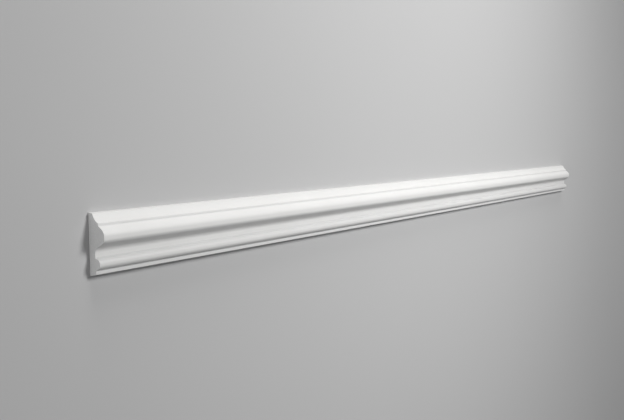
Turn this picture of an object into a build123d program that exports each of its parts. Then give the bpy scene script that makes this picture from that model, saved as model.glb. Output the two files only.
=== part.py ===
"""Wall moulding: one straight length of chair rail, lying on its back, in millimetres.

+X runs along the length, +Y from the rail's bottom edge to its top edge, and +Z out of the wall that it
is glued to. The origin is the centre of the flat back. The section is a stack of members from the bottom
edge up, each with its own sizes: a flat fillet, a bead, a flat neck, a cove that sweeps out under a large
torus, a small step, and a cavetto that runs out at the top edge.
"""

import os
from math import cos, radians, sin, tan

from build123d import *

# Stock length, square cut at both ends.
length = 2000.0

# Lean of the bottom and top edges, which narrow away from the back.
edge_draft = radians(9.5)

# Flat fillet along the bottom edge.
fillet_depth = 9.9
fillet_height = 4.7

# Bead above the fillet: two straight flanks and two round shoulders that meet at its crest.
bead_depth = 16.0
bead_low_flank = radians(52.0)
bead_low_radius = 7.4
bead_high_radius = 5.3
bead_high_flank = radians(66.0)

# Flat neck, and the cove that sweeps out of it under the torus.
neck_depth = 9.1
neck_height = 6.3
cove_radius = 7.3

# Torus, the nose of the rail: a straight underside, two round shoulders on a flat front, a straight flank.
torus_depth = 23.8
torus_underside = radians(59.0)
torus_low_radius = 6.3
torus_front_height = 2.8
torus_high_radius = 11.6
torus_flank = radians(52.0)

# Step above the torus, the cavetto that runs up from it, and the depth left at the top edge.
step_depth = 14.5
step_height = 2.8
cavetto_radius = 18.0
cavetto_height = 11.4
top_depth = 6.1

# Rounding of the three sharp outer arrises.
arris_radius = 0.4


def flank(start, depth, lean):
    """The point at that depth on a straight flank through start that leans back from the wall's normal."""
    return (start[0] + (start[1] - depth) / tan(lean), depth)


def shoulder(crest, radius, turn):
    """The point of a round shoulder that leaves the crest flat and has turned by that angle."""
    return (crest[0] + radius * sin(turn), crest[1] - radius * (1 - cos(turn)))


# Section points as (height, depth), from the bottom edge up. Each member starts where the last one ends.
fillet_bottom = (fillet_depth * tan(edge_draft), fillet_depth)
fillet_top = (fillet_bottom[0] + fillet_height, fillet_depth)

bead_low = flank(fillet_top, bead_depth - bead_low_radius * (1 - cos(bead_low_flank)), -bead_low_flank)
bead_crest = (bead_low[0] + bead_low_radius * sin(bead_low_flank), bead_depth)
bead_high = shoulder(bead_crest, bead_high_radius, bead_high_flank)
neck_bottom = flank(bead_high, neck_depth, bead_high_flank)

neck_top = (neck_bottom[0] + neck_height, neck_depth)
cove_end = (
    neck_top[0] + cove_radius * sin(torus_underside),
    neck_depth + cove_radius * (1 - cos(torus_underside)),
)

torus_low = flank(cove_end, torus_depth - torus_low_radius * (1 - cos(torus_underside)), -torus_underside)
front_low = (torus_low[0] + torus_low_radius * sin(torus_underside), torus_depth)
front_high = (front_low[0] + torus_front_height, torus_depth)
torus_high = shoulder(front_high, torus_high_radius, torus_flank)

step_bottom = flank(torus_high, step_depth, torus_flank)
step_top = (step_bottom[0] + step_height, step_depth)
top_arris = (step_top[0] + cavetto_height, top_depth)
height = top_arris[0] + top_depth * tan(edge_draft)

# Section drawn at the left end, centred on the rail's height, and run along to the right end.
with BuildPart() as moulding:
    with BuildSketch(Plane.YZ.offset(-length / 2)) as section:
        with BuildLine(Location((-height / 2, 0))) as outline:
            Polyline((0, 0), fillet_bottom, fillet_top, bead_low)
            RadiusArc(bead_low, bead_crest, bead_low_radius)
            RadiusArc(bead_crest, bead_high, bead_high_radius)
            Polyline(bead_high, neck_bottom, neck_top)
            RadiusArc(neck_top, cove_end, -cove_radius)
            Line(cove_end, torus_low)
            RadiusArc(torus_low, front_low, torus_low_radius)
            Line(front_low, front_high)
            RadiusArc(front_high, torus_high, torus_high_radius)
            Polyline(torus_high, step_bottom, step_top)
            RadiusArc(step_top, top_arris, -cavetto_radius)
            Polyline(top_arris, (height, 0), (0, 0))
        make_face()
        arrises = [
            section.vertices().sort_by_distance((corner[0] - height / 2, corner[1], 0))[0]
            for corner in (fillet_bottom, step_top, top_arris)
        ]
        fillet(arrises, radius=arris_radius)
    extrude(amount=length)

moulding.part.label = "moulding"
os.makedirs("parts", exist_ok=True)
export_step(moulding.part, "parts/moulding.step")
print(f"height {height:.3f}, depth {torus_depth:.3f}, volume {moulding.part.volume:.0f} mm3")
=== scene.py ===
from math import acos, cos, radians, sin, tan

import bmesh
import bpy
from mathutils import Matrix, Vector


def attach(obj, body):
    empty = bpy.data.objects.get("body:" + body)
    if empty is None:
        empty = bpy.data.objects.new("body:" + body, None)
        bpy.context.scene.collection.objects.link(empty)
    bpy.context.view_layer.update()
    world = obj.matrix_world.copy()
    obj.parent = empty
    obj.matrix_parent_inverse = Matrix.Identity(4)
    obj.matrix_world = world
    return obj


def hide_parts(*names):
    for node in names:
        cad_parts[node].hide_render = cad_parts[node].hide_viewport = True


MM = 0.001

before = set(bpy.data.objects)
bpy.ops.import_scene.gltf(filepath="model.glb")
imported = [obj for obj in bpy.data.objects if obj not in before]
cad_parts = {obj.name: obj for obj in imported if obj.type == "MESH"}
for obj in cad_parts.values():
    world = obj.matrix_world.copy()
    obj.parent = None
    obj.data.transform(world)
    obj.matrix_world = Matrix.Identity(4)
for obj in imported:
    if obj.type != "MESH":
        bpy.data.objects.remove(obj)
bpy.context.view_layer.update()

# Section. The same sizes as the part's source, in millimetres and degrees, but for the bead's lower shoulder:
# its steeper flank, smaller radius and short flat front make it up to 0.5 mm fuller here.
LENGTH = 2000.0
EDGE_DRAFT = radians(9.5)
FILLET_DEPTH, FILLET_HEIGHT = 9.9, 4.7
BEAD_DEPTH, BEAD_LOW_FLANK, BEAD_HIGH_FLANK = 16.0, radians(58.0), radians(66.0)
BEAD_LOW_RADIUS, BEAD_FRONT_HEIGHT, BEAD_HIGH_RADIUS = 5.6, 1.459, 5.3
NECK_DEPTH, NECK_HEIGHT, COVE_RADIUS = 9.1, 6.3, 7.3
TORUS_DEPTH, TORUS_UNDERSIDE, TORUS_FLANK = 23.8, radians(59.0), radians(52.0)
TORUS_LOW_RADIUS, TORUS_FRONT_HEIGHT, TORUS_HIGH_RADIUS = 6.3, 2.8, 11.6
STEP_DEPTH, STEP_HEIGHT = 14.5, 2.8
CAVETTO_RADIUS, CAVETTO_HEIGHT, TOP_DEPTH = 18.0, 11.4, 6.1
ARRIS_RADIUS = 0.4

# Mesh: short straight pieces in each round, rings along the length, and the turn that counts as an arris.
ARRIS_STEPS, BEAD_STEPS, COVE_STEPS = 5, 16, 18
TORUS_LOW_STEPS, TORUS_HIGH_STEPS, CAVETTO_STEPS = 18, 20, 28
RINGS = 81
SHARP_ANGLE = radians(14.0)

# Colours.
FACE_WHITES = (0.800, 0.799, 0.792, 1.0), (0.826, 0.825, 0.820, 1.0)
# The corner colour is painted shade, multiplied into the primer along the section's inner corners.
PAINTED_CORNER_SHADE = (0.86, 0.862, 0.866, 1.0)
SAWN_WHITES = (0.745, 0.745, 0.740, 1.0), (0.800, 0.800, 0.797, 1.0)
SAW_LINE_SHADE = (0.955, 0.955, 0.955, 1.0)
# The pore colour is painted shade in the pits of the sawn ends.
PAINTED_PORE_SHADE = (0.65, 0.65, 0.645, 1.0)
FLOOR_GREYS = (0.548, 0.549, 0.553, 1.0), (0.556, 0.557, 0.561, 1.0)
ROOM_COLOR, ROOM_STRENGTH = (0.97, 0.985, 1.0, 1.0), 0.07

# Lamps: their whites, and the angle that a far window fills.
WHITE, COOL_WHITE = (1.0, 1.0, 1.0), (0.96, 0.985, 1.0)
WARM_WHITE, WARMER_WHITE = (1.0, 0.995, 0.985), (1.0, 0.985, 0.965)
WINDOW_SPREAD = radians(20.0)

# How far the painted shade of an inner corner reaches up and down the face, in millimetres.
CORNER_REACH = 1.5

# The floor's half width in metres, and its drop below the back, so that the two never share a plane.
FLOOR_REACH, FLOOR_DROP = 14.0, 0.0003


def flank(start, depth, lean):
    """The point at that depth on a straight flank through start that leans back from the wall's normal."""
    return (start[0] + (start[1] - depth) / tan(lean), depth)


def shoulder(crest, radius, turn):
    """The point of a round shoulder that leaves the crest flat and has turned by that angle."""
    return (crest[0] + radius * sin(turn), crest[1] - radius * (1 - cos(turn)))


def turned(centre, spoke, angle):
    """The end of the spoke from the centre, turned by that angle."""
    return (
        centre.x + spoke.x * cos(angle) - spoke.y * sin(angle),
        centre.y + spoke.x * sin(angle) + spoke.y * cos(angle),
    )


def arc(start, end, radius, steps):
    """Points after start along the arc to end.

    A positive radius bulges out of the face, a negative one into it.
    """
    a, b = Vector(start), Vector(end)
    chord = b - a
    half = chord.length / 2
    rise = (radius * radius - half * half) ** 0.5
    out = Vector((-chord.y, chord.x)).normalized()
    sign = 1 if radius > 0 else -1
    centre = (a + b) / 2 - out * sign * rise
    turn = 2 * acos(rise / abs(radius))
    return [turned(centre, a - centre, -sign * turn * i / steps) for i in range(1, steps + 1)]


def rounded(before, corner, after):
    """Points of the small round that takes the place of a sharp arris."""
    p, q, r = Vector(before), Vector(corner), Vector(after)
    u, v = (p - q).normalized(), (r - q).normalized()
    half = u.angle(v) / 2
    cut = ARRIS_RADIUS / tan(half)
    centre = q + (u + v).normalized() * (ARRIS_RADIUS / sin(half))
    a, b = q + u * cut - centre, q + v * cut - centre
    turn = a.angle_signed(b)
    return [turned(centre, a, -turn * i / ARRIS_STEPS) for i in range(ARRIS_STEPS + 1)]


def section():
    """The section's outline as (height, depth), and the heights of its three inner corners.

    Heights start at the middle of the back. The members are laid out from the bottom edge up, and each
    one starts where the last one ends.
    """
    fillet_bottom = (FILLET_DEPTH * tan(EDGE_DRAFT), FILLET_DEPTH)
    fillet_top = (fillet_bottom[0] + FILLET_HEIGHT, FILLET_DEPTH)

    low_depth = BEAD_DEPTH - BEAD_LOW_RADIUS * (1 - cos(BEAD_LOW_FLANK))
    bead_low = flank(fillet_top, low_depth, -BEAD_LOW_FLANK)
    bead_crest = (bead_low[0] + BEAD_LOW_RADIUS * sin(BEAD_LOW_FLANK), BEAD_DEPTH)
    bead_front = (bead_crest[0] + BEAD_FRONT_HEIGHT, BEAD_DEPTH)
    bead_high = shoulder(bead_front, BEAD_HIGH_RADIUS, BEAD_HIGH_FLANK)

    neck_bottom = flank(bead_high, NECK_DEPTH, BEAD_HIGH_FLANK)
    neck_top = (neck_bottom[0] + NECK_HEIGHT, NECK_DEPTH)
    cove_end = (
        neck_top[0] + COVE_RADIUS * sin(TORUS_UNDERSIDE),
        NECK_DEPTH + COVE_RADIUS * (1 - cos(TORUS_UNDERSIDE)),
    )

    low_depth = TORUS_DEPTH - TORUS_LOW_RADIUS * (1 - cos(TORUS_UNDERSIDE))
    torus_low = flank(cove_end, low_depth, -TORUS_UNDERSIDE)
    front_low = (torus_low[0] + TORUS_LOW_RADIUS * sin(TORUS_UNDERSIDE), TORUS_DEPTH)
    front_high = (front_low[0] + TORUS_FRONT_HEIGHT, TORUS_DEPTH)
    torus_high = shoulder(front_high, TORUS_HIGH_RADIUS, TORUS_FLANK)

    step_bottom = flank(torus_high, STEP_DEPTH, TORUS_FLANK)
    step_top = (step_bottom[0] + STEP_HEIGHT, STEP_DEPTH)
    top_arris = (step_top[0] + CAVETTO_HEIGHT, TOP_DEPTH)
    height = top_arris[0] + TOP_DEPTH * tan(EDGE_DRAFT)

    # The cavetto's first and last points give way to the rounds of the arrises at its two ends.
    cavetto = arc(step_top, top_arris, -CAVETTO_RADIUS, CAVETTO_STEPS)
    bottom, top = (0.0, 0.0), (height, 0.0)
    outline = [
        bottom,
        *rounded(bottom, fillet_bottom, fillet_top),
        fillet_top,
        bead_low,
        *arc(bead_low, bead_crest, BEAD_LOW_RADIUS, BEAD_STEPS),
        bead_front,
        *arc(bead_front, bead_high, BEAD_HIGH_RADIUS, BEAD_STEPS),
        neck_bottom,
        neck_top,
        *arc(neck_top, cove_end, -COVE_RADIUS, COVE_STEPS),
        torus_low,
        *arc(torus_low, front_low, TORUS_LOW_RADIUS, TORUS_LOW_STEPS),
        front_high,
        *arc(front_high, torus_high, TORUS_HIGH_RADIUS, TORUS_HIGH_STEPS),
        step_bottom,
        *rounded(step_bottom, step_top, cavetto[0]),
        *cavetto[1:-2],
        *rounded(cavetto[-2], top_arris, top),
        top,
    ]
    corners = (fillet_top, neck_bottom, step_bottom)
    return [(h - height / 2, d) for h, d in outline], [corner[0] - height / 2 for corner in corners]


def place_object(name, data):
    """A new object with that data, in the scene."""
    made = bpy.data.objects.new(name, data)
    bpy.context.scene.collection.objects.link(made)
    return made


def moulding(points):
    """The face as one long sheet with rings along the length, closed by the back and by two sawn ends."""
    mesh = bmesh.new()
    rows = []
    for i in range(RINGS):
        x = -LENGTH / 2 + LENGTH * i / (RINGS - 1)
        rows.append([mesh.verts.new((x * MM, y * MM, z * MM)) for y, z in points])
    for a, b in zip(rows[:-1], rows[1:]):
        for j in range(len(points)):
            k = (j + 1) % len(points)
            mesh.faces.new((a[j], a[k], b[k], b[j]))
    ends = [mesh.faces.new(rows[0]), mesh.faces.new(rows[-1][::-1])]
    for face in mesh.faces:
        face.smooth = True
    for face in ends:
        face.material_index = 1
        face.smooth = False
    bmesh.ops.recalc_face_normals(mesh, faces=mesh.faces)
    data = bpy.data.meshes.new("moulding_face")
    mesh.to_mesh(data)
    mesh.free()
    data.set_sharp_from_angle(angle=SHARP_ANGLE)
    return place_object("moulding_face", data)


class Nodes:
    """Short calls for a material's nodes."""

    def __init__(self, name):
        self.material = bpy.data.materials.new(name)
        self.material.use_nodes = True
        self.tree = self.material.node_tree
        self.shader = self.tree.nodes["Principled BSDF"]

    def add(self, kind, settings=None, **inputs):
        node = self.tree.nodes.new(kind)
        for key, value in (settings or {}).items():
            setattr(node, key, value)
        for key, value in inputs.items():
            self.put(node, key.replace("_", " "), value)
        return node

    def put(self, node, key, value):
        if isinstance(value, bpy.types.NodeSocket):
            self.tree.links.new(value, node.inputs[key])
        else:
            node.inputs[key].default_value = value

    def coordinates(self, scale):
        """The object's own coordinates in metres, times a scale for each axis."""
        place = self.add("ShaderNodeTexCoord").outputs["Object"]
        return self.add("ShaderNodeMapping", Vector=place, Scale=scale).outputs["Vector"]

    def noise(self, vector, scale, detail, roughness):
        node = self.add("ShaderNodeTexNoise", Vector=vector, Scale=scale, Detail=detail, Roughness=roughness)
        return node.outputs["Fac"]

    def span(self, value, low, high, start=0.3, end=0.7):
        """Low where the value is at start or before it, high at end or after it, and even in between."""
        node = self.add("ShaderNodeMapRange", Value=value)
        for key, number in (("From Min", start), ("From Max", end), ("To Min", low), ("To Max", high)):
            self.put(node, key, number)
        return node.outputs["Result"]

    def math(self, operation, *values):
        node = self.add("ShaderNodeMath", {"operation": operation})
        for i, value in enumerate(values):
            self.put(node, i, value)
        return node.outputs["Value"]

    def mix(self, factor, first, second, blend="MIX"):
        """The first colour where the factor is 0, and the second one blended over it where it is 1."""
        node = self.add("ShaderNodeMix", {"data_type": "RGBA", "blend_type": blend})
        for key, value in (("Factor", factor), ("A", first), ("B", second)):
            self.put(node, key, value)
        return node.outputs["Result"]

    def bump(self, height, distance, strength, normal=None):
        node = self.add("ShaderNodeBump", Height=height, Distance=distance, Strength=strength)
        if normal is not None:
            self.put(node, "Normal", normal)
        return node.outputs["Normal"]

    def near_heights(self, heights, reach):
        """1 on any of the given heights of the section, falling to 0 at that reach above and below it."""
        place = self.add("ShaderNodeTexCoord").outputs["Object"]
        y = self.add("ShaderNodeSeparateXYZ", Vector=place).outputs["Y"]
        near = 0.0
        for height in heights:
            gap = self.math("ABSOLUTE", self.math("SUBTRACT", y, height * MM))
            near = self.math("MAXIMUM", near, self.span(gap, 1.0, 0.0, start=0.0, end=reach * MM))
        return near


def primer(corner_heights):
    """Smooth satin white: a sprayed skin with a fine grain, faint lines drawn along the length, and painted
    shade along the three inner corners.
    """
    m = Nodes("satin_white_primer")
    even = m.coordinates((1.0, 1.0, 1.0))
    cloud = m.noise(even, scale=9.0, detail=4.0, roughness=0.55)
    grain = m.noise(even, scale=1100.0, detail=2.0, roughness=0.5)
    drawn = m.coordinates((6.0, 500.0, 500.0))
    lines = m.noise(drawn, scale=1.0, detail=3.0, roughness=0.6)
    tone = m.mix(m.span(cloud, 0.0, 1.0), *FACE_WHITES)
    # Painted shade: the colour is darkened in a narrow band along each inner corner of the section, where shade
    # falls.
    shade = m.mix(m.near_heights(corner_heights, CORNER_REACH), tone, PAINTED_CORNER_SHADE, "MULTIPLY")
    m.put(m.shader, "Base Color", shade)
    m.put(m.shader, "Roughness", m.span(lines, 0.42, 0.54))
    skin = m.bump(grain, distance=0.00006, strength=0.5)
    m.put(m.shader, "Normal", m.bump(lines, distance=0.00004, strength=0.5, normal=skin))
    return m.material


def sawn():
    """The cut ends: the same white all through, with a matt, finely porous grain, faint saw lines, and painted
    shade in the pores.
    """
    m = Nodes("sawn_white_foam")
    even = m.coordinates((1.0, 1.0, 1.0))
    grain = m.noise(even, scale=420.0, detail=3.0, roughness=0.6)
    cut = m.coordinates((1.0, 60.0, 1600.0))
    lines = m.noise(cut, scale=1.0, detail=2.0, roughness=0.5)

    # A pore in the middle of most cells, each one faint or deep by its cell's own chance value.
    cells = m.add("ShaderNodeTexVoronoi", Vector=even, Scale=2600.0)
    chance = m.add("ShaderNodeSeparateColor", Color=cells.outputs["Color"]).outputs["Red"]
    hole = m.span(cells.outputs["Distance"], 1.0, 0.0, start=0.08, end=0.42)
    pore = m.math("MULTIPLY", hole, m.span(chance, 0.0, 1.0, start=0.1, end=1.0))

    tone = m.mix(m.span(grain, 0.0, 1.0), *SAWN_WHITES)
    streaked = m.mix(m.span(lines, 0.0, 1.0, start=0.35, end=0.7), tone, SAW_LINE_SHADE, "MULTIPLY")
    # Painted shade: each pore is darker in colour, as shade inside its pit.
    m.put(m.shader, "Base Color", m.mix(pore, streaked, PAINTED_PORE_SHADE))
    m.put(m.shader, "Roughness", m.span(grain, 0.75, 0.9))
    depth = m.span(pore, 1.0, 0.0, start=0.0, end=1.0)
    pits = m.bump(depth, distance=0.00015, strength=0.6)
    m.put(m.shader, "Normal", m.bump(lines, distance=0.00012, strength=0.7, normal=pits))
    return m.material


def floor_paint():
    """Plain matt pale grey, with hardly any change in tone."""
    m = Nodes("pale_floor")
    even = m.coordinates((1.0, 1.0, 1.0))
    cloud = m.noise(even, scale=1.3, detail=3.0, roughness=0.5)
    m.put(m.shader, "Base Color", m.mix(m.span(cloud, 0.0, 1.0), *FLOOR_GREYS))
    m.put(m.shader, "Roughness", 0.9)
    m.put(m.shader, "Specular IOR Level", 0.2)
    return m.material


face_points, corner_heights = section()
piece = moulding(face_points)
piece.data.materials.append(primer(corner_heights))
piece.data.materials.append(sawn())
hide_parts("moulding")
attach(piece, "root")

floor_data = bpy.data.meshes.new("floor")
floor_corners = ((-1, -1), (1, -1), (1, 1), (-1, 1))
floor_points = [(x * FLOOR_REACH, y * FLOOR_REACH, -FLOOR_DROP) for x, y in floor_corners]
floor_data.from_pydata(floor_points, [], [(0, 1, 2, 3)])
floor = place_object("floor", floor_data)
floor.data.materials.append(floor_paint())


def lamp(name, kind, ray, strength, color):
    """A lamp of that kind that shines along the ray."""
    data = bpy.data.lights.new(name, kind)
    data.energy = strength
    data.color = color
    made = place_object(name, data)
    made.rotation_euler = ray.to_track_quat("-Z", "Y").to_euler()
    return made


def softbox(name, place, aim, size, watts, color):
    """A soft rectangular light at that place, turned to the aim."""
    made = lamp(name, "AREA", Vector(aim) - Vector(place), watts, color)
    made.data.shape = "RECTANGLE"
    made.data.size, made.data.size_y = size
    made.location = place


def far_window(name, elevation, heading, strength, color):
    """A wide soft light from far away, low over the floor, that shines along the heading on the floor."""
    drop = Vector(heading).length * tan(radians(elevation))
    made = lamp(name, "SUN", Vector((*heading, -drop)), strength, color)
    made.data.angle = WINDOW_SPREAD


# The key shines on the face from the top edge's side, and the front fill from straight above it. The far
# windows light the top edge and the near end, and the far fill the floor beyond the far end.
softbox("key", (0.03, 1.04, 1.88), aim=(0.03, 0.0, 0.01), size=(0.8, 0.8), watts=38.5, color=WARM_WHITE)
softbox("front_fill", (0.25, 0.12, 2.4), aim=(0.25, 0.0, 0.01), size=(0.8, 0.8), watts=3.6, color=COOL_WHITE)
far_window("top_light", elevation=13.0, heading=(0.0, -1.0), strength=1.0, color=WARMER_WHITE)
far_window("end_light", elevation=15.0, heading=(1.0, 0.06), strength=0.7, color=WHITE)
softbox("far_fill", (2.6, 0.0, 1.3), aim=(2.6, 0.0, 0.0), size=(0.8, 1.6), watts=3.6, color=WHITE)

world = bpy.data.worlds.new("studio")
world.use_nodes = True
background = world.node_tree.nodes["Background"]
background.inputs["Color"].default_value = ROOM_COLOR
background.inputs["Strength"].default_value = ROOM_STRENGTH
bpy.context.scene.world = world

# Camera, recovered from the photograph: its place in rail widths from the bottom corner of the back's near end,
# then the turn away from the wall's normal, the dip and the roll, in radians, and the focal length in picture
# widths.
RAIL = 75.0 * MM
SENSOR_WIDTH = 36.0
along, above, out = -11.07001 * RAIL, 2.01848 * RAIL, 10.51401 * RAIL
yaw, dip, roll = 1.042618, 0.069417, -0.015802
focal = 952.11 / 624

ahead = Vector((sin(yaw) * cos(dip), -sin(dip), -cos(yaw) * cos(dip)))
level = Vector((cos(yaw), 0.0, sin(yaw)))
upward = level.cross(ahead)
right = cos(roll) * level + sin(roll) * upward
up = -sin(roll) * level + cos(roll) * upward

camera_data = bpy.data.cameras.new("camera")
camera_data.sensor_fit = "HORIZONTAL"
camera_data.sensor_width = SENSOR_WIDTH
camera_data.lens = SENSOR_WIDTH * focal
camera_data.clip_end = 60.0
camera = place_object("camera", camera_data)
turn = Matrix((right, up, -ahead)).transposed().to_4x4()
place = Vector((along - LENGTH * MM / 2, above - RAIL / 2, out))
camera.matrix_world = Matrix.Translation(place) @ turn
bpy.context.scene.camera = camera

bpy.context.scene.view_settings.view_transform = "Standard"

bpy.context.view_layer.update()
